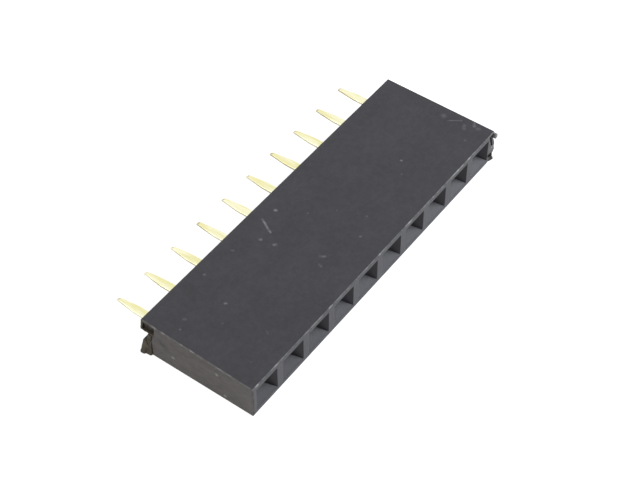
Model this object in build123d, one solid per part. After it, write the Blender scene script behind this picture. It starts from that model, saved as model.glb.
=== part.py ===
from build123d import *
from math import hypot
import os

# Female pin header strip, in millimetres: a moulded housing with a stamped spring contact in each socket.
# X runs along the row, Y from the mating face to the solder tails, Z up from the side face it lies on.
# The origin is on that side face, under the middle of the row and half way through the housing's depth.

# Row of sockets
positions = 10
pitch = 2.54

# Housing, a moulded bar that was cut from a longer strip
housing_depth = 8.5
housing_thickness = 2.5
near_margin = 1.34
far_margin = 1.67
edge_radius = 0.08

# Socket, from the mating face inwards: funnel, throat, chamber
rib_width = 0.56
mouth_wall = 0.35
funnel_depth = 0.6
throat_width = 0.95
throat_height = 0.8
throat_length = 0.3

# Channel along the tail face, where the contacts' shoulders seat
channel_depth = 0.65
channel_room = 0.2

# Spring contact, folded from thin strip
stock = 0.2
contact_width = 1.44
arm_height = 0.9
arm_lead = 0.9
grip_gap = 0.45
lead_inset = 0.045
base_length = 2.0
shoulder_step = 0.22
shoulder_length = 0.3
jog_length = 0.25
tail_width = 0.56
tail_length = 2.88
tail_taper = 1.45
tail_tip_width = 0.22

# Slanting cut at the near end
near_cut_setback = 0.2
near_cut_drop = 1.3

# Hollow break in the end of the channel's upper lip
hollow_length = 1.05
hollow_rim = 0.14
hollow_skin = 0.14
hollow_sill = 0.08
hollow_reach = 0.25

# Chipped end of the channel's lower lip
chip_setback = 0.2
chip_drop = 0.5

# Torn lug on the channel's lower lip at the near end
lug_reach = 0.31
lug_length = 0.93
lug_rise = 0.06
ridge_reach = 0.17
ridge_length = 0.42

# Torn remains of the next socket at the far end, by the mating face
tab_reach = 0.22
tab_root = 0.11
tab_stand = 0.18
tab_length = 0.6
tab_height = 0.54
bulge_reach = 0.27
bulge_length = 0.9
bulge_height = 1.42
slit_width = 0.17
slit_height = 1.0
slit_depth = 0.4
gouge_width = 0.54
gouge_rim = 0.05
gouge_height = 0.42
gouge_depth = 0.5
spike_reach = 0.07
spike_stand = 0.12
spike_length = 0.45
spike_height = 0.22

# Fits and cuts
contact_clearance = 0.03
tip_clearance = 0.15
overrun = 0.5

# Outlines of the torn remains, as shares of their own sizes
lug_foot_shares = [
    (-0.9, 0.02),
    (0.45, 0.05),
    (0.57, 0.42),
    (0.93, 0.53),
    (1, 0.78),
    (0.5, 0.94),
    (-0.9, 0.97),
]
lug_crown_shares = [
    (-0.9, 0.06),
    (0.1, 0.1),
    (0.2, 0.42),
    (0.1, 0.5),
    (-0.35, 0.72),
    (-0.6, 0.9),
    (-0.9, 0.92),
]
ridge_foot_shares = [(-0.9, 0), (0.85, 0.1), (1, 0.75), (-0.9, 1)]
ridge_crown_shares = [(-0.9, 0), (0.2, 0.1), (0.25, 0.7), (-0.9, 0.74)]
tab_shares = [(0, 1), (0.35, 0.9), (1, 0.55), (0.94, 0.08), (0.3, 0), (0, 0.2)]
bulge_shares = [(0, 1), (0.55, 0.82), (1, 0.55), (0.9, 0.2), (0.4, 0), (0, 0)]
slit_lean_share = 0.25
slit_place_share = 0.32
slit_top_share = 0.08
gouge_shares = [(0, 1), (1, 0.9), (1, 0), (0.5, 0.06)]
gouge_place_share = 0.12
bulge_place_share = 0.19
tab_place_share = 0.77
spike_shares = [(0, 0.8), (0.35, -0.2), (1, -0.9), (0.9, 1.2)]

# Places worked out from the sizes above
row_start = -(positions - 1) * pitch / 2
row_end = row_start + (positions - 1) * pitch
near_x = row_start - near_margin
far_x = row_end + far_margin
mating_y = -housing_depth / 2
tail_y = housing_depth / 2
middle_z = housing_thickness / 2
channel_floor_y = tail_y - channel_depth
throat_y = mating_y + funnel_depth
chamber_y = throat_y + throat_length
mouth_width = pitch - rib_width
mouth_height = housing_thickness - 2 * mouth_wall
chamber_width = contact_width + 2 * contact_clearance
chamber_height = arm_height + 2 * contact_clearance
base_z = middle_z - arm_height / 2
tail_z = middle_z - stock / 2
channel_low_z = base_z - channel_room
channel_high_z = middle_z + chamber_height / 2


def block(low, high):
    """Box between two corners."""
    size = [b - a for a, b in zip(low, high)]
    return Pos(*low) * Box(*size, align=(Align.MIN, Align.MIN, Align.MIN))


def section(y):
    """Plane across the depth at y: its own axes are X and Z, and it faces the mating side."""
    return Plane((0, y, 0), x_dir=(1, 0, 0), z_dir=(0, -1, 0))


def across(points, y_low, y_high):
    """Prism from an outline in X and Z, between two depths."""
    outline = section(y_high) * make_face(Polyline(*points, close=True))
    return extrude(outline, y_high - y_low, dir=(0, -1, 0))


def shared(origin, size, shares):
    """Outline points from shares of a size, counted from its origin."""
    return [(origin[0] + size[0] * a, origin[1] + size[1] * b) for a, b in shares]


def torn(origin, size, foot_shares, crown_shares, height):
    """Torn stump with straight sides, from its foot on the rest face up to its crown."""
    foot = make_face(Polyline(*shared(origin, size, foot_shares), close=True))
    crown = make_face(Polyline(*shared(origin, size, crown_shares), close=True))
    return loft([foot, Pos(0, 0, height) * crown], ruled=True)


def band(points, thickness):
    """Outline of a strip of even thickness, laid on the left of a polyline."""
    runs = []
    for (x0, y0), (x1, y1) in zip(points, points[1:]):
        length = hypot(x1 - x0, y1 - y0)
        runs.append(((x1 - x0) / length, (y1 - y0) / length))
    sides = []
    for i, (x, y) in enumerate(points):
        before = runs[max(i - 1, 0)]
        after = runs[min(i, len(runs) - 1)]
        normal = (-before[1] - after[1], before[0] + after[0])
        reach = thickness * 2 / (normal[0] ** 2 + normal[1] ** 2)
        sides.append((x + normal[0] * reach, y + normal[1] * reach))
    return list(points) + sides[::-1]


def housing_bar():
    """The plain bar with its long edges slightly rounded."""
    bar = block((near_x, mating_y, 0), (far_x, tail_y, housing_thickness))
    return fillet(bar.edges().filter_by(Axis.X), edge_radius)


def socket_cut(x):
    """One socket: a square funnel, a throat, and the chamber behind it, open to the tail side."""
    mouth = section(mating_y) * Pos(x, middle_z) * Rectangle(mouth_width, mouth_height)
    throat = section(throat_y) * Pos(x, middle_z) * Rectangle(throat_width, throat_height)
    chamber = section(chamber_y) * Pos(x, middle_z) * Rectangle(chamber_width, chamber_height)
    funnel = loft([mouth, throat])
    return funnel + extrude(throat, -throat_length) + extrude(chamber, chamber_y - channel_floor_y)


def tail_channel():
    """Channel along the whole tail face, open at both cut ends."""
    low = (near_x - overrun, channel_floor_y, channel_low_z)
    high = (far_x + overrun, tail_y + overrun, channel_high_z)
    return block(low, high)


def near_cut_plane():
    """Slanting cut that takes more off the near end's upper edge towards the tails."""
    corner = Vector(near_x, mating_y, housing_thickness)
    along = Vector(near_cut_setback, housing_depth, 0)
    down = Vector(near_x, tail_y, housing_thickness - near_cut_drop) - corner
    return Plane(corner, x_dir=along, z_dir=along.cross(down))


def lip_hollow():
    """Hollow break in the near end of the channel's upper lip."""
    low = (near_x - overrun, tail_y - hollow_length, channel_high_z + hollow_sill)
    high = (near_x + hollow_reach, tail_y - hollow_rim, housing_thickness - hollow_skin)
    return block(low, high)


def lip_chip():
    """Chip off the near end of the channel's lower lip."""
    points = [
        (near_x, channel_low_z - chip_drop),
        (near_x + chip_setback, channel_low_z),
        (near_x, channel_low_z),
    ]
    return across(points, channel_floor_y, tail_y)


def near_lug():
    """Torn lug that stands out of the near end, with the ridge that joins it to the upper lip."""
    corner = (near_x, tail_y - lug_length)
    lug_size = (-lug_reach, lug_length)
    ridge_size = (-ridge_reach, ridge_length)
    lug = torn(corner, lug_size, lug_foot_shares, lug_crown_shares, channel_low_z + lug_rise)
    return lug + torn(corner, ridge_size, ridge_foot_shares, ridge_crown_shares, channel_high_z)


def far_tab():
    """Torn tab of the next socket's upper wall, bent out past the mating face."""
    origin = (far_x - tab_root, housing_thickness * tab_place_share)
    points = shared(origin, (tab_root + tab_reach, tab_height), tab_shares)
    return across(points, mating_y - tab_stand, mating_y + tab_length)


def far_bulge():
    """Torn skin that stands out of the far end."""
    origin = (far_x, housing_thickness * bulge_place_share)
    points = shared(origin, (bulge_reach, bulge_height), bulge_shares)
    return across(points, mating_y, mating_y + bulge_length)


def far_slit():
    """Leaning slit behind the torn skin, in the front of the last rib."""
    rib_x = row_end + mouth_width / 2
    left = rib_x + (far_x - rib_x) * slit_place_share
    top = housing_thickness * (1 - slit_top_share)
    lean = slit_height * slit_lean_share
    points = [
        (left, top),
        (left + slit_width, top),
        (left + slit_width + lean, top - slit_height),
        (left + lean, top - slit_height),
    ]
    return across(points, mating_y - overrun, mating_y + slit_depth)


def far_gouge():
    """Gouge low down in the front of the last rib."""
    origin = (far_x - gouge_rim - gouge_width, housing_thickness * gouge_place_share)
    points = shared(origin, (gouge_width, gouge_height), gouge_shares)
    return across(points, mating_y - overrun, mating_y + gouge_depth)


def far_spike():
    """Small torn point at the foot of the far corner."""
    size = (spike_length + spike_reach, spike_stand)
    points = shared((far_x - spike_length, mating_y), size, spike_shares)
    return extrude(make_face(Polyline(*points, close=True)), spike_height, dir=(0, 0, 1))


def housing():
    """The moulded housing with both torn ends."""
    body = housing_bar()
    body = split(body, bisect_by=near_cut_plane(), keep=Keep.BOTTOM)
    body = body - tail_channel() - lip_hollow() - lip_chip()
    body = body + near_lug() + far_tab() + far_bulge() + far_spike()
    body = body - far_slit() - far_gouge()
    for i in range(positions):
        body = body - socket_cut(row_start + i * pitch)
    return body


def contact_strip():
    """Base plate, shoulders and tail: a jogged strip trimmed to its stamped outline."""
    shoulder_end = channel_floor_y + shoulder_length
    jog_end = shoulder_end + jog_length
    tail_end = tail_y + tail_length
    base_start = channel_floor_y - base_length
    underside = [(base_start, base_z), (shoulder_end, base_z), (jog_end, tail_z), (tail_end, tail_z)]
    half_shoulder = contact_width / 2 + shoulder_step
    side_face = Plane.YZ * make_face(Polyline(*band(underside, stock), close=True))
    side = extrude(side_face, half_shoulder, both=True)
    half_outline = [
        (contact_width / 2, base_start),
        (contact_width / 2, channel_floor_y),
        (half_shoulder, channel_floor_y),
        (half_shoulder, shoulder_end),
        (tail_width / 2, shoulder_end),
        (tail_width / 2, tail_end - tail_taper),
        (tail_tip_width / 2, tail_end),
    ]
    mirrored = [(-x, y) for x, y in reversed(half_outline)]
    plan_face = make_face(Polyline(*half_outline, *mirrored, close=True))
    return side & extrude(plan_face, housing_thickness, dir=(0, 0, 1))


def contact_arm():
    """One spring arm, folded up from the base plate: it closes in to grip a pin and flares at its tip."""
    tip_y = chamber_y + tip_clearance
    route = [
        (contact_width / 2, channel_floor_y),
        (contact_width / 2, channel_floor_y - base_length),
        (grip_gap / 2 + stock, tip_y + arm_lead),
        (contact_width / 2 - lead_inset, tip_y),
    ]
    outline = make_face(Polyline(*band(route[::-1], stock), close=True))
    return Pos(0, 0, base_z) * extrude(outline, arm_height, dir=(0, 0, 1))


def contact():
    """One folded spring contact, on the row's middle."""
    arm = contact_arm()
    return contact_strip() + arm + mirror(arm, about=Plane.YZ)


os.makedirs("parts", exist_ok=True)
export_step(housing(), "parts/housing.step")
spring_contact = contact()
for i in range(positions):
    placed = Pos(row_start + i * pitch, 0, 0) * spring_contact
    export_step(placed, f"parts/contact_{i + 1:02d}.step")
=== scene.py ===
import math

import bmesh
import bpy
from mathutils import Matrix, Vector


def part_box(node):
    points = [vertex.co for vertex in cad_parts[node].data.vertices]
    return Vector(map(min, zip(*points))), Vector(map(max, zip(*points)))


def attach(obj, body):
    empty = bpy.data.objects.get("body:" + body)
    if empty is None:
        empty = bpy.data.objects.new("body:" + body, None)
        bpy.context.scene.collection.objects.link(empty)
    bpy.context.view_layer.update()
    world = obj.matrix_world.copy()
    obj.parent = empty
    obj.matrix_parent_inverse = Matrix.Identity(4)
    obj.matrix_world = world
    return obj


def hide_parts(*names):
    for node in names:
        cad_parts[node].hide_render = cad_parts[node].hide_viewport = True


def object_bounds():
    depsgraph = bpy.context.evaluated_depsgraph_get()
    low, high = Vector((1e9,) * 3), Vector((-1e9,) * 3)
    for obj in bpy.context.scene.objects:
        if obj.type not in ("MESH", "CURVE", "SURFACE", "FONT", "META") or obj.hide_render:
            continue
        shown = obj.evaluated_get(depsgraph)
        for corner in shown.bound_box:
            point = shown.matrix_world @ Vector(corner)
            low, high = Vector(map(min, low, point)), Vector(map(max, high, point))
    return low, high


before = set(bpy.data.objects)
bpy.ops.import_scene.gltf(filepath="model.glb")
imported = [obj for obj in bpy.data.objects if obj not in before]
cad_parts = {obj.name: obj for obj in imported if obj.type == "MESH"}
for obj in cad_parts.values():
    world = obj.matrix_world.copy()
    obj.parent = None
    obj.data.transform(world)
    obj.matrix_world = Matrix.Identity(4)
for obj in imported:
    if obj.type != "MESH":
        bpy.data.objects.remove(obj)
cad_low, cad_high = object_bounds()

# Female pin header strip: a black moulded housing, torn off a longer strip, and ten stamped gilt
# contacts. Pieces are modelled at bench scale, one unit to the millimetre, and then brought down
# to metres. Corners closer than the weld, in millimetres, become one.
MM = 0.001
WELD = 0.001

# Housing, in millimetres
NEAR_X = -12.77
FAR_X = 13.1
MATING_Y = -4.25
TAIL_Y = 4.25
THICKNESS = 2.5
MOUTH_WALL = 0.35
CHANNEL_FLOOR_Y = 3.6
CHANNEL_LOW_Z = 0.6
CHANNEL_HIGH_Z = 1.73
NEAR_CUT_SETBACK = 0.2

# Edges and torn ends of the housing: lengths in millimetres, and plain shares and counts
RIM_BEVEL = 0.015
LIP_BEVEL = 0.03
CUT_EDGE_BEVEL = 0.07
EDGE_HIGHLIGHT_REACH = 0.1
LUG_LENGTH = 0.93
TAB_ROOT = 0.12
TAB_LENGTH = 0.6
TAB_LOW_Z = 1.9
FAR_RIB_WIDTH = 0.55
NEAR_TORN_REACH = 0.32
FAR_TORN_REACH = 0.65
TORN_STEP = 0.07
TORN_DEPTH = 0.09
TORN_SHIFT = 0.05
TEAR_SIZE = 0.22
TEAR_SIZES = {"X": TEAR_SIZE, "Y": 0.9 * TEAR_SIZE, "Z": 1.1 * TEAR_SIZE}
TEAR_DETAIL = 3
TO_PLUS, BOTH_WAYS, TO_MINUS = 0.0, 0.5, 1.0
ROUNDING_PASSES = 3
CUT_TEAR_SHARE = 0.12
FRAY_TEAR_SHARE = 0.5
FRAY_REACH = 0.3

# How the housing's faces are told apart: areas in square millimetres, and shares of a normal
SMALL_FACE = 0.6
LARGE_FACE = 1
LEANING = 0.3
FACING_END = 0.6

# Angles, in degrees: faces still counted as flat, real corners, folds and stamped edges, and
# the largest angles that are shaded smooth
FLAT_ANGLE = 0.5
CORNER_ANGLE = 25
FOLD_ANGLE = 10
STAMPED_ANGLE = 50
HOUSING_SMOOTH_ANGLE = 40
CONTACT_SMOOTH_ANGLE = 50

# Scuffs on the upper face, in millimetres: where each starts and ends, its half width, and its strength
TOP_SCUFFS = [
    ((-2.03, 3.26), (-2.6, 2.21), 0.12, 0.85),
    ((12.15, -1.23), (12.68, -1.94), 0.08, 0.45),
    ((12.38, -2.33), (12.15, -2.49), 0.22, 0.3),
    ((12.95, -2.78), (12.7, -2.93), 0.18, 0.45),
    ((12.61, -3.24), (12.66, -3.29), 0.22, 0.42),
    ((12.41, -0.7), (12.33, -0.83), 0.28, 0.28),
    ((11.26, -3.12), (11.24, -3.15), 0.13, 0.4),
    ((-0.95, 3.1), (-0.93, 3.05), 0.17, 0.8),
    ((-3.43, 2.38), (-3.42, 2.34), 0.16, 1.0),
    ((-3.27, 1.44), (-3.2, 1.37), 0.17, 0.7),
    ((2.01, -1.82), (2.02, -1.8), 0.11, 0.3),
    ((-8.67, 0.96), (-8.64, 0.92), 0.14, 0.65),
    ((-11.04, 2.16), (-11.02, 2.1), 0.15, 0.4),
    ((7.29, -0.8), (7.31, -0.84), 0.12, 0.65),
    ((-2.36, -1.42), (-2.2, -1.64), 0.15, 0.35),
    ((-2.9, -1.78), (-2.98, -1.92), 0.15, 0.25),
    ((0.39, -2.44), (0.43, -2.48), 0.13, 0.35),
    ((-5.16, 3.22), (-5.12, 3.16), 0.13, 0.35),
    ((-7.66, 3.38), (-7.64, 3.34), 0.13, 0.35),
    ((-8.9, -2.34), (-8.94, -2.44), 0.13, 0.25),
]

# Specks and one smear on the near end's cut face: their places along the depth and up, in millimetres
CUT_SPECKS = [(-2.16, 0.3), (-1.62, 1.92), (1.71, 0.94)]
CUT_SPECK_REACH = 0.18
CUT_SMEAR = [(2.7, 1.7), (2.1, 1.4)]
CUT_SMEAR_REACH = 0.2

# Whitened beads along the near end's upper edge, by depth and strength, and painted highlights along the
# upper mating edge, by place in the row
CUT_EDGE_BEADS = [(3.17, 0.45), (2.53, 0.6), (1.05, 0.35), (0.31, 0.9), (-1.76, 0.3), (-2.41, 0.3)]
MATING_EDGE_HIGHLIGHTS = [-12.31, -10.55, -5.1, -0.05, 3.2, 8.35, 8.7, 9.23, 10.05]
BEAD_REACH = 0.26

# Whitened places on the far tab and the torn rib under it, and the painted shade in the hollow of the
# near end's lip:
# their middles and reach, in millimetres, and how white the far ones are
FAR_WHITE_SPOTS = [((13.2, -4.25, 2.25), 0.85, 0.9), ((12.9, -4.25, 1.25), 0.65, 0.3)]
HOLLOW_MIDDLE = (-12.62, 3.68, 2.05)
HOLLOW_PAINTED_SHADE_REACH = 0.75
HOLLOW_PAINTED_SHADE_DEPTH = 0.14

# Spring contact: lengths in millimetres, and plain shares and counts
STOCK = 0.2
CONTACT_WIDTH = 1.44
ARM_HEIGHT = 0.9
ARM_LEAD = 0.9
GRIP_GAP = 0.45
LEAD_INSET = 0.045
TIP_Y = -3.2
BASE_LENGTH = 2.0
BASE_Z = 0.8
SHOULDER_STEP = 0.22
SHOULDER_LENGTH = 0.3
JOG_LENGTH = 0.25
TAIL_Z = 1.15
TAIL_WIDTH = 0.56
TAIL_LENGTH = 2.88
TAIL_TAPER = 1.45
TAIL_TIP_WIDTH = 0.22
FOLD_RADIUS = 0.16
ARM_FOLD_RADIUS = 0.3
ARM_FOLD_STEPS = 5
RELIEF = 0.15
STAMPED_EDGE = 0.05
COINED_LENGTH = 0.22
COINED_SHARE = 0.5
SHEARED_SIDE = 0.8
SHEARED_TIP = 0.2

# Photograph's camera: places and lens in millimetres, roll in degrees
CAMERA_PLACE = Vector((-53.643, -38.555, 75.79))
CAMERA_TARGET = Vector((0.492, 0.678, 0))
CAMERA_ROLL = 0.251
CAMERA_LENS = 89.553
SENSOR_WIDTH = 36

# Studio: sizes and places in metres, and light levels as the camera, a gloss and a dull face meet them
FLOOR_SIZE = 0.9
FLOOR_DROP = 0.02 * MM
FLOOR_LEVELS = (0.8, 0.4, 0.0)
WORLD_LEVELS = (1.0, 1.0, 0.17)
SIDE_LAMP = ((0.34, -0.27, 0.25), 0.36, 2.3, (0.88, 0.93, 1.0))
END_LAMP = ((-0.36, 0.14, 0.2), 0.2, 0.7, (1.0, 0.98, 0.96))

# Lengths in millimetres that count as the same
CLOSE = 0.005

# The housing's finishes by number, the sockets' one holding painted shade, and the contacts' second one
MOULDED, MATING, SHADED_SOCKET, CUT, TORN, FRAYED = range(6)
# The contacts' second finish is partly painted shade along the tails' lower edges.
SHEARED_AND_SHADED = 1


def only(piece):
    """Makes one piece the only selected and active one."""
    bpy.ops.object.select_all(action="DESELECT")
    piece.select_set(True)
    bpy.context.view_layer.objects.active = piece


def edit(piece):
    """Opens one piece for editing, with nothing in it selected."""
    only(piece)
    bpy.ops.object.mode_set(mode="EDIT")
    bpy.ops.mesh.select_all(action="DESELECT")


def done():
    """Closes the piece that is open for editing."""
    bpy.ops.object.mode_set(mode="OBJECT")


def pick(piece, kind, test):
    """Selects the corners, edges or faces of the open piece that pass a test, and nothing else."""
    bpy.ops.mesh.select_mode(type=kind)
    bpy.ops.mesh.select_all(action="DESELECT")
    mesh = bmesh.from_edit_mesh(piece.data)
    mesh.normal_update()
    for item in {"VERT": mesh.verts, "EDGE": mesh.edges, "FACE": mesh.faces}[kind]:
        if test(item):
            item.select_set(True)
    mesh.select_flush_mode()
    bmesh.update_edit_mesh(piece.data)


def middle(edge):
    """Middle of an edge."""
    return (edge.verts[0].co + edge.verts[1].co) / 2


def near(a, b):
    """Whether two lengths are the same within a hair."""
    return abs(a - b) < CLOSE


def extrude(x, y, z):
    """Extrudes what is selected by a move."""
    bpy.ops.mesh.extrude_region_move(TRANSFORM_OT_translate={"value": (x, y, z)})


def slice_at(place, normal):
    """Cuts the selected faces with a plane, and keeps both sides."""
    bpy.ops.mesh.bisect(plane_co=place, plane_no=normal, threshold=WELD)


def apply_modifiers(piece):
    """Applies the piece's modifiers in order."""
    only(piece)
    for modifier in list(piece.modifiers):
        bpy.ops.object.modifier_apply(modifier=modifier.name)


def to_metres(piece):
    """Brings a piece from bench scale down to metres, with its place in its mesh."""
    only(piece)
    piece.data.transform(Matrix.Scale(MM, 4))
    piece.data.update()


# Materials

def add(tree, kind, inputs=None, **settings):
    """Adds a node. An input is a value, or the output socket that feeds it."""
    made = tree.nodes.new(kind)
    for name, value in settings.items():
        setattr(made, name, value)
    for name, value in (inputs or {}).items():
        if isinstance(value, bpy.types.NodeSocket):
            tree.links.new(value, made.inputs[name])
        else:
            made.inputs[name].default_value = value
    return made


def new_material(name):
    """An empty node material with its output."""
    material = bpy.data.materials.new(name)
    material.use_nodes = True
    material.node_tree.nodes.clear()
    return material, material.node_tree


def millimetres(tree, turn=(0, 0, 0), stretch=(1, 1, 1)):
    """The piece's own coordinates in millimetres, turned and stretched for a pattern."""
    place = add(tree, "ShaderNodeTexCoord").outputs["Object"]
    values = {"Vector": place, "Rotation": turn, "Scale": [s / MM for s in stretch]}
    return add(tree, "ShaderNodeMapping", values).outputs["Vector"]


def noise(tree, place, scale, detail=3.0, roughness=0.5):
    """Cloudy noise from 0 to 1."""
    values = {"Vector": place, "Scale": scale, "Detail": detail, "Roughness": roughness}
    return add(tree, "ShaderNodeTexNoise", values).outputs["Fac"]


def span(tree, value, low, high, to_low=0.0, to_high=1.0):
    """Maps low and high to new ends, smoothly and clamped."""
    values = {"Value": value, "From Min": low, "From Max": high, "To Min": to_low, "To Max": to_high}
    return add(tree, "ShaderNodeMapRange", values, interpolation_type="SMOOTHSTEP").outputs["Result"]


def sums(tree, operation, a, b):
    """One sum on two numbers or sockets."""
    made = add(tree, "ShaderNodeMath", operation=operation)
    for socket, value in zip(made.inputs, (a, b)):
        if isinstance(value, bpy.types.NodeSocket):
            tree.links.new(value, socket)
        else:
            socket.default_value = value
    return made.outputs["Value"]


def blend(tree, share, a, b):
    """Mixes two colours by a share."""
    made = add(tree, "ShaderNodeMix", data_type="RGBA")
    tree.links.new(share, made.inputs["Factor"])
    for name, value in (("A", a), ("B", b)):
        socket = next(s for s in made.inputs if s.name == name and s.type == "RGBA")
        if isinstance(value, bpy.types.NodeSocket):
            tree.links.new(value, socket)
        else:
            socket.default_value = (*value, 1)
    return next(s for s in made.outputs if s.type == "RGBA")


def bump(tree, height, depth, under=None):
    """Surface relief of a depth in millimetres."""
    values = {"Height": height, "Distance": depth * MM, "Strength": 1.0}
    if under:
        values["Normal"] = under
    return add(tree, "ShaderNodeBump", values).outputs["Normal"]


def finish_surface(tree, values):
    """Feeds a principled shader to the material's output."""
    shader = add(tree, "ShaderNodeBsdfPrincipled", values)
    add(tree, "ShaderNodeOutputMaterial", {"Surface": shader.outputs["BSDF"]})


def mark(tree, place, start, end, reach):
    """One mark from start to end, which fades out at its half width."""
    run = Vector(end) - Vector(start)
    from_start = add(tree, "ShaderNodeVectorMath", operation="SUBTRACT")
    tree.links.new(place, from_start.inputs[0])
    from_start.inputs[1].default_value = start
    along = add(tree, "ShaderNodeVectorMath", operation="DOT_PRODUCT")
    tree.links.new(from_start.outputs["Vector"], along.inputs[0])
    along.inputs[1].default_value = run / run.length_squared
    share = add(tree, "ShaderNodeClamp", {"Value": along.outputs["Value"]})
    foot = add(tree, "ShaderNodeVectorMath", {"Scale": share.outputs["Result"]}, operation="SCALE")
    foot.inputs[0].default_value = run
    gap = add(tree, "ShaderNodeVectorMath", operation="DISTANCE")
    tree.links.new(from_start.outputs["Vector"], gap.inputs[0])
    tree.links.new(foot.outputs["Vector"], gap.inputs[1])
    return span(tree, gap.outputs["Value"], 0.0, reach, 1.0, 0.0)


def spot(tree, place, centre, reach):
    """One round mark, which fades out at its radius."""
    gap = add(tree, "ShaderNodeVectorMath", operation="DISTANCE")
    tree.links.new(place, gap.inputs[0])
    gap.inputs[1].default_value = centre
    return span(tree, gap.outputs["Value"], 0.0, reach, 1.0, 0.0)


def largest(tree, values):
    """The largest of several values."""
    most = values[0]
    for value in values[1:]:
        most = sums(tree, "MAXIMUM", most, value)
    return most


def cut_edge_x(y):
    """Where the slanting cut meets the upper face, at a depth."""
    return NEAR_X + NEAR_CUT_SETBACK * (y - MATING_Y) / (TAIL_Y - MATING_Y)


def specks(tree, place, per_mm, size, share):
    """Scattered specks: a share of the cells of a random lattice holds one."""
    cells = add(tree, "ShaderNodeTexVoronoi", {"Vector": place, "Scale": per_mm})
    round_spot = span(tree, cells.outputs["Distance"], 0.4 * size * per_mm, size * per_mm, 1.0, 0.0)
    lot = add(tree, "ShaderNodeSeparateColor", {"Color": cells.outputs["Color"]}).outputs["Red"]
    chosen = sums(tree, "LESS_THAN", lot, share)
    return sums(tree, "MULTIPLY", round_spot, chosen)


def hairlines(tree, turn, share):
    """Faint straight rub lines across a face, turned by an angle in degrees."""
    place = millimetres(tree, turn=(0, 0, math.radians(turn)), stretch=(0.35, 11, 0.35))
    lines = noise(tree, place, 1.0, 2.0)
    return span(tree, lines, 1 - share, 1 - share + 0.08)


def moulded_plastic(name, smooth, rough, gloss):
    """Black plastic as it left the mould: fine grain, faint clouding, dust, scuffs and rub lines."""
    material, tree = new_material(name)
    place = millimetres(tree)
    clouds = noise(tree, place, 0.45, 4.0)
    mottle = noise(tree, place, 2.6, 4.0, 0.75)
    grain = noise(tree, place, 17.0, 5.0, 0.65)
    pits = noise(tree, place, 5.0, 3.0)
    broad = span(tree, clouds, 0.3, 0.7, 0.0, 0.45)
    fine = span(tree, mottle, 0.36, 0.64, 0.0, 0.55)
    tone = sums(tree, "ADD", broad, fine)
    colour = blend(tree, tone, (0.026, 0.0248, 0.0300), (0.046, 0.0442, 0.0525))
    colour = blend(tree, span(tree, grain, 0.55, 0.8, 0.0, 0.35), colour, (0.075, 0.075, 0.082))
    dust = specks(tree, place, 1.6, 0.1, 0.17)
    scuffs = [sums(tree, "MULTIPLY", dust, 0.3)]
    for start, end, reach, strength in TOP_SCUFFS:
        scuff = mark(tree, place, (*start, THICKNESS), (*end, THICKNESS), reach)
        scuffs.append(sums(tree, "MULTIPLY", scuff, strength))
    broken = span(tree, pits, 0.35, 0.6, 0.35, 1.0)
    scuffed = sums(tree, "MULTIPLY", largest(tree, scuffs), broken)
    rubs = sums(tree, "MAXIMUM", hairlines(tree, 24, 0.3), hairlines(tree, -58, 0.28))
    colour = blend(tree, sums(tree, "MULTIPLY", rubs, 0.16), colour, (0.12, 0.12, 0.125))
    colour = blend(tree, scuffed, colour, (0.3, 0.3, 0.31))
    values = {
        "Base Color": colour,
        "Roughness": span(tree, grain, 0.2, 0.8, smooth, rough),
        "Normal": bump(tree, grain, 0.005, bump(tree, pits, 0.005)),
        "Specular IOR Level": gloss,
    }
    finish_surface(tree, values)
    return material


def shaded_socket_plastic():
    """The plastic inside the sockets: dull, and coloured darker as painted shade, for the deep sockets
    lie in shade.
    """
    material, tree = new_material("shaded_socket_plastic")
    place = millimetres(tree)
    clouds = noise(tree, place, 1.1, 3.0)
    grain = noise(tree, place, 11.0, 5.0, 0.7)
    # Painted shade: the sockets' insides are coloured far darker than the same plastic outside.
    colour = blend(tree, span(tree, clouds, 0.3, 0.7), (0.007, 0.005, 0.010), (0.012, 0.010, 0.017))
    colour = blend(tree, span(tree, grain, 0.58, 0.8, 0.0, 0.3), colour, (0.07, 0.07, 0.085))
    values = {
        "Base Color": colour,
        "Roughness": span(tree, grain, 0.2, 0.8, 0.34, 0.46),
        "Normal": bump(tree, grain, 0.006),
        "Specular IOR Level": 0.375,
    }
    finish_surface(tree, values)
    return material


def cut_plastic():
    """The near end's cut face: warm grey, drawn along the cut, with pale specks and a dark smear."""
    material, tree = new_material("cut_plastic")
    place = millimetres(tree)
    drawn = noise(tree, millimetres(tree, stretch=(1, 0.6, 1.6)), 2.4, 5.0, 0.6)
    grain = noise(tree, place, 13.0, 6.0, 0.7)
    colour = blend(tree, span(tree, drawn, 0.3, 0.7), (0.074, 0.067, 0.064), (0.106, 0.097, 0.093))
    smear = mark(tree, place, *((NEAR_X, y, z) for y, z in CUT_SMEAR), CUT_SMEAR_REACH)
    colour = blend(tree, sums(tree, "MULTIPLY", smear, 0.6), colour, (0.03, 0.028, 0.027))
    pale = largest(tree, [spot(tree, place, (NEAR_X, y, z), CUT_SPECK_REACH) for y, z in CUT_SPECKS])
    dust = specks(tree, place, 1.3, 0.09, 0.25)
    pale = sums(tree, "MAXIMUM", pale, sums(tree, "MULTIPLY", dust, 0.3))
    height = add(tree, "ShaderNodeSeparateXYZ", {"Vector": place}).outputs["Z"]
    by_edge = span(tree, height, THICKNESS - FRAY_REACH, THICKNESS)
    frays = span(tree, noise(tree, place, 3.4, 4.0, 0.65), 0.5, 0.7, 0.0, 0.3)
    pale = sums(tree, "MAXIMUM", pale, sums(tree, "MULTIPLY", by_edge, frays))
    colour = blend(tree, pale, colour, (0.3, 0.29, 0.28))
    values = {
        "Base Color": colour,
        "Roughness": span(tree, grain, 0.2, 0.8, 0.42, 0.6),
        "Normal": bump(tree, grain, 0.008, bump(tree, drawn, 0.02)),
        "Specular IOR Level": 0.5,
    }
    finish_surface(tree, values)
    return material


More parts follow.
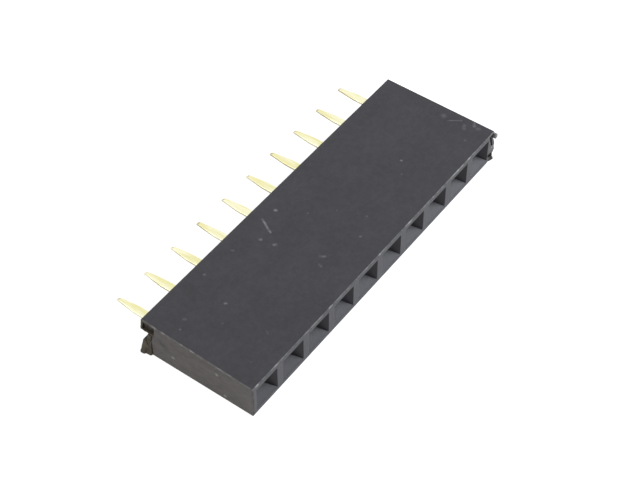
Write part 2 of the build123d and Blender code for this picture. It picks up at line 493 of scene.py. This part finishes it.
def torn_plastic():
    """The same plastic where it was torn: rough, brownish, and paler on its high points, with painted
    shade in the lip's hollow.
    """
    material, tree = new_material("torn_plastic")
    place = millimetres(tree)
    tears = noise(tree, place, 2.6, 5.0, 0.6)
    grain = noise(tree, place, 14.0, 6.0, 0.7)
    colour = blend(tree, span(tree, tears, 0.35, 0.7), (0.046, 0.038, 0.027), (0.108, 0.092, 0.068))
    flecks = specks(tree, place, 1.6, 0.07, 0.32)
    flecks = sums(tree, "MAXIMUM", flecks, span(tree, grain, 0.68, 0.8))
    colour = blend(tree, sums(tree, "MULTIPLY", flecks, 0.5), colour, (0.26, 0.25, 0.23))
    # Painted shade: torn faces deep in the near end's lip hollow are coloured near black, as the hollow
    # lies in shade.
    shade = span(tree, spot(tree, place, HOLLOW_MIDDLE, HOLLOW_PAINTED_SHADE_REACH), 0.1, 0.6)
    row = add(tree, "ShaderNodeSeparateXYZ", {"Vector": place}).outputs["X"]
    lip = cut_edge_x(HOLLOW_MIDDLE[1])
    shade = sums(tree, "MULTIPLY", shade, span(tree, row, lip, lip + HOLLOW_PAINTED_SHADE_DEPTH))
    colour = blend(tree, shade, colour, (0.016, 0.011, 0.011))
    values = {
        "Base Color": colour,
        "Roughness": span(tree, grain, 0.2, 0.8, 0.5, 0.75),
        "Normal": bump(tree, grain, 0.015, bump(tree, tears, 0.04)),
        "Specular IOR Level": 0.4,
    }
    finish_surface(tree, values)
    return material


def frayed_plastic():
    """Cut and rubbed corners: the plastic is whitened, most of all in small beads. The same pale finish,
    with brighter spots, paints a highlight along the upper mating edge.
    """
    material, tree = new_material("frayed_plastic")
    place = millimetres(tree)
    flecks = noise(tree, place, 2.6, 5.0, 0.7)
    grain = noise(tree, place, 16.0, 4.0, 0.6)
    # Painted highlights: bright spots along the upper mating edge.
    beads = [spot(tree, place, (x, MATING_Y, THICKNESS), BEAD_REACH) for x in MATING_EDGE_HIGHLIGHTS]
    for y, strength in CUT_EDGE_BEADS:
        bead = spot(tree, place, (cut_edge_x(y), y, THICKNESS), BEAD_REACH)
        beads.append(sums(tree, "MULTIPLY", bead, strength))
    for centre, reach, strength in FAR_WHITE_SPOTS:
        beads.append(sums(tree, "MULTIPLY", spot(tree, place, centre, reach), strength))
    colour = blend(tree, span(tree, flecks, 0.4, 0.66), (0.07, 0.07, 0.07), (0.23, 0.23, 0.22))
    row = add(tree, "ShaderNodeSeparateXYZ", {"Vector": place}).outputs["X"]
    dulled = span(tree, row, NEAR_X + NEAR_TORN_REACH, NEAR_X + 2 * NEAR_TORN_REACH, 0.6, 0.0)
    colour = blend(tree, dulled, colour, (0.085, 0.078, 0.075))
    broken = span(tree, flecks, 0.35, 0.6, 0.4, 1.0)
    beaded = sums(tree, "MULTIPLY", largest(tree, beads), broken)
    colour = blend(tree, beaded, colour, (0.46, 0.46, 0.44))
    values = {
        "Base Color": colour,
        "Roughness": span(tree, grain, 0.2, 0.8, 0.4, 0.6),
        "Normal": bump(tree, grain, 0.01),
        "Specular IOR Level": 0.45,
    }
    finish_surface(tree, values)
    return material


def gilt(name, pale, deep, sheen):
    """Thin gilt flash on rolled strip, with faint lines and deeper streaks along the strip."""
    material, tree = new_material(name)
    rolled = noise(tree, millimetres(tree, stretch=(22, 0.8, 22)), 1.0, 3.0)
    streaks = noise(tree, millimetres(tree, stretch=(3.2, 0.5, 3.2)), 1.0, 3.0, 0.55)
    values = {
        "Base Color": blend(tree, span(tree, streaks, 0.4, 0.62), pale, deep),
        "Metallic": 1.0,
        "Roughness": span(tree, rolled, 0.25, 0.75, sheen, sheen + 0.14),
        "Normal": bump(tree, rolled, 0.002),
    }
    finish_surface(tree, values)
    return material


# Pieces

def housing_copy():
    """The housing's own solid at bench scale, welded, with flat faces in one piece."""
    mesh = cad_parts["housing"].data.copy()
    shell = bpy.data.objects.new("housing_shell", mesh)
    bpy.context.scene.collection.objects.link(shell)
    mesh.transform(Matrix.Scale(1 / MM, 4))
    mesh.materials.clear()
    only(shell)
    bpy.ops.mesh.customdata_custom_splitnormals_clear()
    edit(shell)
    bpy.ops.mesh.select_all(action="SELECT")
    bpy.ops.mesh.remove_doubles(threshold=WELD)
    bpy.ops.mesh.dissolve_limited(angle_limit=math.radians(FLAT_ANGLE))
    done()
    return shell


def sharp(edge):
    """Whether an edge is a real corner of the piece."""
    return len(edge.link_faces) == 2 and edge.calc_face_angle() > math.radians(CORNER_ANGLE)


def at_near_end(face):
    """Whether a face lies wholly at the near end."""
    return all(v.co.x < NEAR_X + NEAR_TORN_REACH for v in face.verts)


def at_far_end(face):
    """Whether a face lies wholly at the far end."""
    return all(v.co.x > FAR_X - FAR_TORN_REACH for v in face.verts)


def finish_faces(piece, finish):
    """Gives the selected faces one of the piece's finishes, by its number."""
    piece.active_material_index = finish
    bpy.ops.object.material_slot_assign()


def soften_rims(shell):
    """Rounds the rims of the mouths and of the tail channel, and paints a highlight on the upper mating
    edge in the pale frayed finish.
    """
    def mouth_rim(edge):
        a, b = (v.co for v in edge.verts)
        on_face = near(a.y, MATING_Y) and near(b.y, MATING_Y)
        in_height = MOUTH_WALL - CLOSE < middle(edge).z < THICKNESS - MOUTH_WALL + CLOSE
        in_row = NEAR_X + CLOSE < middle(edge).x < FAR_X - FAR_TORN_REACH
        return on_face and in_height and in_row and sharp(edge)

    def channel_lip(edge):
        a, b = (v.co for v in edge.verts)
        at_lip = near(middle(edge).z, CHANNEL_LOW_Z) or near(middle(edge).z, CHANNEL_HIGH_Z)
        return at_lip and near(a.y, TAIL_Y) and near(b.y, TAIL_Y) and near(a.z, b.z) and sharp(edge)

    def highlit_mating_edge(face):
        leans = face.normal.y < -LEANING and face.normal.z > LEANING
        in_front = all(v.co.y < MATING_Y + EDGE_HIGHLIGHT_REACH for v in face.verts)
        on_top = all(v.co.z > THICKNESS - EDGE_HIGHLIGHT_REACH for v in face.verts)
        return leans and in_front and on_top

    edit(shell)
    pick(shell, "EDGE", mouth_rim)
    bpy.ops.mesh.bevel(offset=RIM_BEVEL, segments=2, affect="EDGES")
    pick(shell, "EDGE", channel_lip)
    bpy.ops.mesh.bevel(offset=LIP_BEVEL, segments=2, affect="EDGES")
    # Painted highlight: the rounded upper mating edge takes the pale frayed finish.
    pick(shell, "FACE", highlit_mating_edge)
    finish_faces(shell, FRAYED)
    done()


def finish_mating_side(shell):
    """Gives the mating face its own finish, and the insides of the sockets a darker one that paints
    their shade.
    """
    def mating_face(face):
        return all(near(v.co.y, MATING_Y) for v in face.verts)

    def inside_socket(face):
        low, high = MOUTH_WALL - CLOSE, THICKNESS - MOUTH_WALL + CLOSE
        in_depth = all(MATING_Y - CLOSE < v.co.y < CHANNEL_FLOOR_Y + CLOSE for v in face.verts)
        in_height = all(low < v.co.z < high for v in face.verts)
        in_row = all(v.co.x < FAR_X - FAR_TORN_REACH for v in face.verts) and not at_near_end(face)
        on_channel = all(near(v.co.y, CHANNEL_FLOOR_Y) for v in face.verts)
        return in_depth and in_height and in_row and not mating_face(face) and not on_channel

    edit(shell)
    pick(shell, "FACE", inside_socket)
    finish_faces(shell, SHADED_SOCKET)
    pick(shell, "FACE", mating_face)
    finish_faces(shell, MATING)
    done()


def fray_cut_edges(shell):
    """Breaks the upper and front corners of the near end, where the strip was cut."""
    def cut_edge(edge):
        at_top = all(v.co.z > THICKNESS - CLOSE for v in edge.verts)
        at_front = all(v.co.y < MATING_Y + CLOSE for v in edge.verts)
        at_cut = middle(edge).x < NEAR_X + NEAR_CUT_SETBACK + CLOSE
        return (at_top or at_front) and at_cut and sharp(edge)

    edit(shell)
    pick(shell, "EDGE", cut_edge)
    bpy.ops.mesh.bevel(offset=CUT_EDGE_BEVEL, segments=1, affect="EDGES")
    finish_faces(shell, FRAYED)
    done()


def steps(start, end):
    """Places a torn step apart between two lengths."""
    count = int((end - start) / TORN_STEP)
    return [start + TORN_STEP * (i + 0.5) for i in range(count)]


def part_ends(shell):
    """Parts the faces at both ends from the long faces, and gives them their finishes."""
    def end_face(face):
        faces_end = abs(face.normal.x) > LEANING or face.calc_area() < SMALL_FACE
        at_end = at_near_end(face) or at_far_end(face)
        return face.material_index <= MATING and faces_end and at_end

    def cut_face(face):
        before_lug = all(v.co.y < TAIL_Y - LUG_LENGTH + CLOSE for v in face.verts)
        flat = face.calc_area() > LARGE_FACE or (before_lug and at_near_end(face))
        return abs(face.normal.x) > FACING_END and flat and face.material_index == TORN

    edit(shell)
    for x in (NEAR_X + NEAR_TORN_REACH, FAR_X - FAR_TORN_REACH):
        bpy.ops.mesh.select_all(action="SELECT")
        slice_at((x, 0, 0), (1, 0, 0))
    pick(shell, "FACE", end_face)
    finish_faces(shell, TORN)
    pick(shell, "FACE", cut_face)
    finish_faces(shell, CUT)
    done()


def dice_ends(shell):
    """Dices both ends' faces, whitens the far tab and its rib, and notes how far each face may tear."""
    def diced(face):
        return face.material_index >= CUT and (at_near_end(face) or at_far_end(face))

    def whitened(face):
        past_root = all(v.co.x > FAR_X - TAB_ROOT - CLOSE for v in face.verts)
        in_tab_length = all(v.co.y < MATING_Y + TAB_LENGTH + CLOSE for v in face.verts)
        tab = past_root and in_tab_length and all(v.co.z > TAB_LOW_Z for v in face.verts)
        rib = all(v.co.x > FAR_X - FAR_RIB_WIDTH and near(v.co.y, MATING_Y) for v in face.verts)
        return tab or rib

    low, high = cad_low / MM, cad_high / MM
    cuts = [((0, y, 0), (0, 1, 0)) for y in steps(low.y, TAIL_Y)]
    cuts += [((0, 0, z), (0, 0, 1)) for z in steps(0, THICKNESS)]
    cuts += [((x, 0, 0), (1, 0, 0)) for x in steps(low.x, NEAR_X + NEAR_TORN_REACH)]
    cuts += [((x, 0, 0), (1, 0, 0)) for x in steps(FAR_X - FAR_TORN_REACH, high.x)]
    edit(shell)
    for place, normal in cuts:
        pick(shell, "FACE", diced)
        slice_at(place, normal)
    pick(shell, "FACE", whitened)
    finish_faces(shell, FRAYED)
    for at_end in (at_near_end, at_far_end):
        bpy.ops.object.vertex_group_add()
        for finish, share in ((CUT, CUT_TEAR_SHARE), (FRAYED, FRAY_TEAR_SHARE), (TORN, 1)):
            pick(shell, "FACE", lambda f: diced(f) and at_end(f) and f.material_index == finish)
            bpy.context.scene.tool_settings.vertex_group_weight = share
            bpy.ops.object.vertex_group_assign()
        pick(shell, "VERT", lambda v: v.co.z < CLOSE or v.co.z > THICKNESS - CLOSE)
        bpy.ops.object.vertex_group_remove_from()
    done()


def tear(shell, end, axis, depth, way):
    """Moves one end's faces unevenly along an axis: to its plus side, to its minus side or both ways."""
    grain = bpy.data.textures.new("tears", "CLOUDS")
    grain.noise_scale = TEAR_SIZES[axis]
    grain.noise_depth = TEAR_DETAIL
    push = shell.modifiers.new("tears", "DISPLACE")
    push.texture = grain
    push.texture_coords = "LOCAL"
    push.vertex_group = end
    push.direction = axis
    push.mid_level = way
    push.strength = depth


def tear_ends(shell):
    """Rounds what stands out of the ends, and moves their faces unevenly, as torn plastic is."""
    def stands_out(corner):
        past_end = corner.co.x < NEAR_X - CLOSE or corner.co.x > FAR_X + CLOSE
        return past_end or corner.co.y < MATING_Y - CLOSE

    edit(shell)
    pick(shell, "VERT", stands_out)
    bpy.ops.mesh.vertices_smooth(factor=0.5, repeat=ROUNDING_PASSES)
    done()
    near_end, far_end = (group.name for group in shell.vertex_groups)
    tear(shell, near_end, "X", TORN_DEPTH, TO_PLUS)
    tear(shell, near_end, "Y", TORN_SHIFT, BOTH_WAYS)
    tear(shell, near_end, "Z", TORN_SHIFT, BOTH_WAYS)
    tear(shell, far_end, "X", TORN_DEPTH, TO_MINUS)
    tear(shell, far_end, "Y", TORN_SHIFT, TO_PLUS)
    tear(shell, far_end, "Z", TORN_SHIFT, BOTH_WAYS)
    apply_modifiers(shell)


def housing_shell():
    """The housing with softened rims and torn ends."""
    shell = housing_copy()
    shell.data.materials.append(moulded_plastic("side_plastic", 0.46, 0.62, 0.5))
    shell.data.materials.append(moulded_plastic("mating_plastic", 0.28, 0.42, 0.57))
    for finish in (shaded_socket_plastic(), cut_plastic(), torn_plastic(), frayed_plastic()):
        shell.data.materials.append(finish)
    finish_mating_side(shell)
    soften_rims(shell)
    fray_cut_edges(shell)
    part_ends(shell)
    dice_ends(shell)
    tear_ends(shell)
    only(shell)
    bpy.ops.object.shade_smooth_by_angle(angle=math.radians(HOUSING_SMOOTH_ANGLE))
    shell.modifiers.new("even_normals", "WEIGHTED_NORMAL").keep_sharp = True
    apply_modifiers(shell)
    to_metres(shell)
    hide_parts("housing")
    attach(shell, "root")


def fold_up(side):
    """Bends the sheet up from its selected edge, round the arm fold's radius."""
    turns = [math.radians(90) * i / ARM_FOLD_STEPS for i in range(ARM_FOLD_STEPS + 1)]
    for start, end in zip(turns, turns[1:]):
        out = math.sin(end) - math.sin(start)
        up = math.cos(start) - math.cos(end)
        extrude(side * ARM_FOLD_RADIUS * out, 0, ARM_FOLD_RADIUS * up)


def folded_strip():
    """One contact's thin sheet on the row's middle: base, shoulders, jogged tail and folded arms."""
    half = CONTACT_WIDTH / 2
    flat = half - ARM_FOLD_RADIUS
    fold_z = BASE_Z + ARM_FOLD_RADIUS
    base_start = CHANNEL_FLOOR_Y - BASE_LENGTH
    fold_end = CHANNEL_FLOOR_Y - RELIEF
    shoulder_end = CHANNEL_FLOOR_Y + SHOULDER_LENGTH
    tail_end = TAIL_Y + TAIL_LENGTH
    jog_end = shoulder_end + JOG_LENGTH
    bpy.ops.object.select_all(action="DESELECT")
    bpy.ops.mesh.primitive_plane_add(size=1, location=(0, CHANNEL_FLOOR_Y - BASE_LENGTH / 2, BASE_Z))
    strip = bpy.context.object
    strip.scale = (2 * flat, BASE_LENGTH, 1)
    bpy.ops.object.transform_apply(location=True, rotation=False, scale=True)
    edit(strip)
    pick(strip, "EDGE", lambda e: near(middle(e).y, CHANNEL_FLOOR_Y))
    extrude(0, SHOULDER_LENGTH, 0)
    for side in (-1, 1):
        pick(strip, "EDGE", lambda e: near(middle(e).x, side * flat)
             and middle(e).y > CHANNEL_FLOOR_Y + CLOSE)
        extrude(side * (half + SHOULDER_STEP - flat), 0, 0)
    pick(strip, "EDGE", lambda e: near(abs(middle(e).x), flat)
         and middle(e).y > CHANNEL_FLOOR_Y + CLOSE)
    bpy.ops.mesh.dissolve_edges(use_verts=True)
    bpy.ops.mesh.select_all(action="SELECT")
    slice_at((0, fold_end, 0), (0, 1, 0))
    for side in (-1, 1):
        bpy.ops.mesh.select_all(action="SELECT")
        slice_at((side * TAIL_WIDTH / 2, 0, 0), (1, 0, 0))
    pick(strip, "EDGE", lambda e: near(middle(e).y, shoulder_end) and near(middle(e).x, 0))
    extrude(0, JOG_LENGTH, TAIL_Z - BASE_Z)
    extrude(0, tail_end - TAIL_TAPER - jog_end, 0)
    extrude(0, TAIL_TAPER, 0)
    narrowing = TAIL_TIP_WIDTH / TAIL_WIDTH
    bpy.ops.transform.resize(value=(narrowing, 1, 1), center_override=(0, tail_end, TAIL_Z))
    grip = GRIP_GAP / 2 + STOCK
    for side in (-1, 1):
        pick(strip, "EDGE", lambda e: near(middle(e).x, side * flat) and middle(e).y < fold_end)
        fold_up(side)
        extrude(0, 0, ARM_HEIGHT - ARM_FOLD_RADIUS)
        pick(strip, "EDGE", lambda e: near(middle(e).x, side * half) and near(middle(e).y, base_start)
             and middle(e).z > fold_z + CLOSE)
        extrude(side * (grip - half), TIP_Y + ARM_LEAD - base_start, 0)
        extrude(side * (half - LEAD_INSET - grip), -ARM_LEAD, 0)
    arm_start = base_start - RELIEF
    pick(strip, "FACE", lambda f: f.calc_center_median().y < base_start)
    slice_at((0, arm_start, 0), (0, 1, 0))
    pick(strip, "EDGE", lambda e: middle(e).y < arm_start and all(near(v.co.z, fold_z) for v in e.verts))
    extrude(0, 0, -ARM_FOLD_RADIUS)
    bpy.ops.mesh.select_all(action="SELECT")
    bpy.ops.mesh.normals_make_consistent(inside=False)
    mesh = bmesh.from_edit_mesh(strip.data)
    base_front = Vector((0, base_start, BASE_Z))
    base = min(mesh.faces, key=lambda f: (f.calc_center_median() - base_front).length)
    if base.normal.z < 0:
        bpy.ops.mesh.flip_normals()
    done()
    return strip


def round_folds(strip):
    """Rounds the folds across the strip, at the jog and the arms' leads, as the bending tool does."""
    def fold_across(edge):
        a, b = (v.co for v in edge.verts)
        inner = len(edge.link_faces) == 2
        return near(a.y, b.y) and inner and edge.calc_face_angle() > math.radians(FOLD_ANGLE)

    edit(strip)
    pick(strip, "EDGE", fold_across)
    bpy.ops.mesh.bevel(offset=FOLD_RADIUS, segments=4, affect="EDGES")
    done()


def coin_tip(contact):
    """Thins the tail's tip from above, as the press leaves it."""
    tail_end = TAIL_Y + TAIL_LENGTH
    edit(contact)
    bpy.ops.mesh.select_all(action="SELECT")
    slice_at((0, tail_end - COINED_LENGTH, 0), (0, 1, 0))
    pick(contact, "VERT", lambda v: v.co.y > tail_end - STAMPED_EDGE - CLOSE)
    bpy.ops.transform.resize(value=(1, 1, COINED_SHARE), center_override=(0, tail_end, TAIL_Z))
    done()


def sheared(face):
    """Whether a face of the contact was cut through or thinned by the press, on the tail's side."""
    centre = face.calc_center_median()
    at_side = abs(face.normal.x) > SHEARED_SIDE
    in_coining = centre.y > TAIL_Y + TAIL_LENGTH - COINED_LENGTH
    at_tip = in_coining and face.normal.y > SHEARED_TIP
    return centre.y > CHANNEL_FLOOR_Y and (at_side or at_tip)


def spring_contact():
    """One stamped, folded contact on the row's middle, with soft stamped edges."""
    contact = folded_strip()
    round_folds(contact)
    wall = contact.modifiers.new("stock", "SOLIDIFY")
    wall.thickness = STOCK
    wall.offset = 1
    wall.use_even_offset = True
    edges = contact.modifiers.new("stamped_edges", "BEVEL")
    edges.width = STAMPED_EDGE
    edges.segments = 3
    edges.limit_method = "ANGLE"
    edges.angle_limit = math.radians(STAMPED_ANGLE)
    apply_modifiers(contact)
    rolled_face = gilt("contact_gilt", (0.955, 0.935, 0.655), (0.86, 0.82, 0.44), 0.26)
    # Partly painted shade: the tails' sheared sides take a duller, darker gilt, which also stands in for
    # shade along their lower edges.
    sheared_and_shaded_face = gilt("sheared_and_shaded_gilt", (0.84, 0.8, 0.62), (0.55, 0.5, 0.36), 0.4)
    contact.data.materials.append(rolled_face)
    contact.data.materials.append(sheared_and_shaded_face)
    coin_tip(contact)
    edit(contact)
    bpy.ops.mesh.select_all(action="SELECT")
    bpy.ops.mesh.normals_make_consistent(inside=False)
    pick(contact, "FACE", sheared)
    finish_faces(contact, SHEARED_AND_SHADED)
    done()
    bpy.ops.object.shade_smooth_by_angle(angle=math.radians(CONTACT_SMOOTH_ANGLE))
    contact.modifiers.new("even_normals", "WEIGHTED_NORMAL").keep_sharp = True
    apply_modifiers(contact)
    to_metres(contact)
    return contact


def spring_contacts():
    """A contact for each of the row's own, each with its own mesh."""
    first = spring_contact()
    for node in sorted(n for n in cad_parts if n.startswith("contact_")):
        low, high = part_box(node)
        piece = bpy.data.objects.new("spring_" + node, first.data.copy())
        bpy.context.scene.collection.objects.link(piece)
        piece.data.transform(Matrix.Translation(((low.x + high.x) / 2, 0, 0)))
        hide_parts(node)
        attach(piece, "root")
    bpy.data.objects.remove(first)


# Studio

def seen_level(tree, seen, mirrored, unseen):
    """A light level for the camera, one in a gloss or through glass, and one for all other rays."""
    path = add(tree, "ShaderNodeLightPath")
    glossy = path.outputs["Is Glossy Ray"]
    in_gloss = sums(tree, "MAXIMUM", glossy, path.outputs["Is Transmission Ray"])
    level = span(tree, in_gloss, 0.0, 1.0, unseen, mirrored)
    lift = sums(tree, "MULTIPLY", path.outputs["Is Camera Ray"], seen - unseen)
    return sums(tree, "ADD", level, lift)


def studio_floor():
    """Plain white floor that keeps the strip's shadow."""
    bpy.ops.object.select_all(action="DESELECT")
    bpy.ops.mesh.primitive_plane_add(size=FLOOR_SIZE, location=(0, 0, -FLOOR_DROP))
    floor = bpy.context.object
    floor.name = "studio_floor"
    material, tree = new_material("studio_white")
    matte = add(tree, "ShaderNodeBsdfDiffuse", {"Color": (0.8, 0.8, 0.8, 1)})
    glow = add(tree, "ShaderNodeEmission", {"Strength": seen_level(tree, *FLOOR_LEVELS)})
    both = add(tree, "ShaderNodeAddShader")
    tree.links.new(matte.outputs["BSDF"], both.inputs[0])
    tree.links.new(glow.outputs["Emission"], both.inputs[1])
    add(tree, "ShaderNodeOutputMaterial", {"Surface": both.outputs["Shader"]})
    floor.data.materials.append(material)


def studio_world():
    """White surroundings, with a plain ambient level on the strip."""
    world = bpy.data.worlds.new("studio")
    bpy.context.scene.world = world
    world.use_nodes = True
    tree = world.node_tree
    tree.nodes.clear()
    level = seen_level(tree, *WORLD_LEVELS)
    surround = add(tree, "ShaderNodeBackground", {"Color": (1, 1, 1, 1), "Strength": level})
    add(tree, "ShaderNodeOutputWorld", {"Surface": surround.outputs["Background"]})


def soft_box(name, place, size, power, colour):
    """A square lamp that faces the strip."""
    lamp = bpy.data.lights.new(name, "AREA")
    lamp.color = colour
    lamp.shape = "SQUARE"
    lamp.size = size
    lamp.energy = power
    holder = bpy.data.objects.new(name, lamp)
    holder.location = place
    holder.rotation_euler = (-Vector(place)).to_track_quat("-Z", "Y").to_euler()
    bpy.context.scene.collection.objects.link(holder)


def photo_camera():
    """The camera that the photograph was taken with, as fitted to the strip."""
    lens = bpy.data.cameras.new("photo_camera")
    lens.lens = CAMERA_LENS
    lens.sensor_width = SENSOR_WIDTH
    lens.clip_start = 0.001
    lens.clip_end = 10
    camera = bpy.data.objects.new("photo_camera", lens)
    camera.location = CAMERA_PLACE * MM
    turn = (CAMERA_TARGET - CAMERA_PLACE).to_track_quat("-Z", "Y").to_matrix()
    roll = Matrix.Rotation(math.radians(CAMERA_ROLL), 3, "Z")
    camera.rotation_euler = (turn @ roll).to_euler()
    bpy.context.scene.collection.objects.link(camera)
    bpy.context.scene.camera = camera


housing_shell()
spring_contacts()
studio_floor()
studio_world()
soft_box("side_lamp", *SIDE_LAMP)
soft_box("end_lamp", *END_LAMP)
photo_camera()
bpy.context.scene.view_settings.view_transform = "Standard"
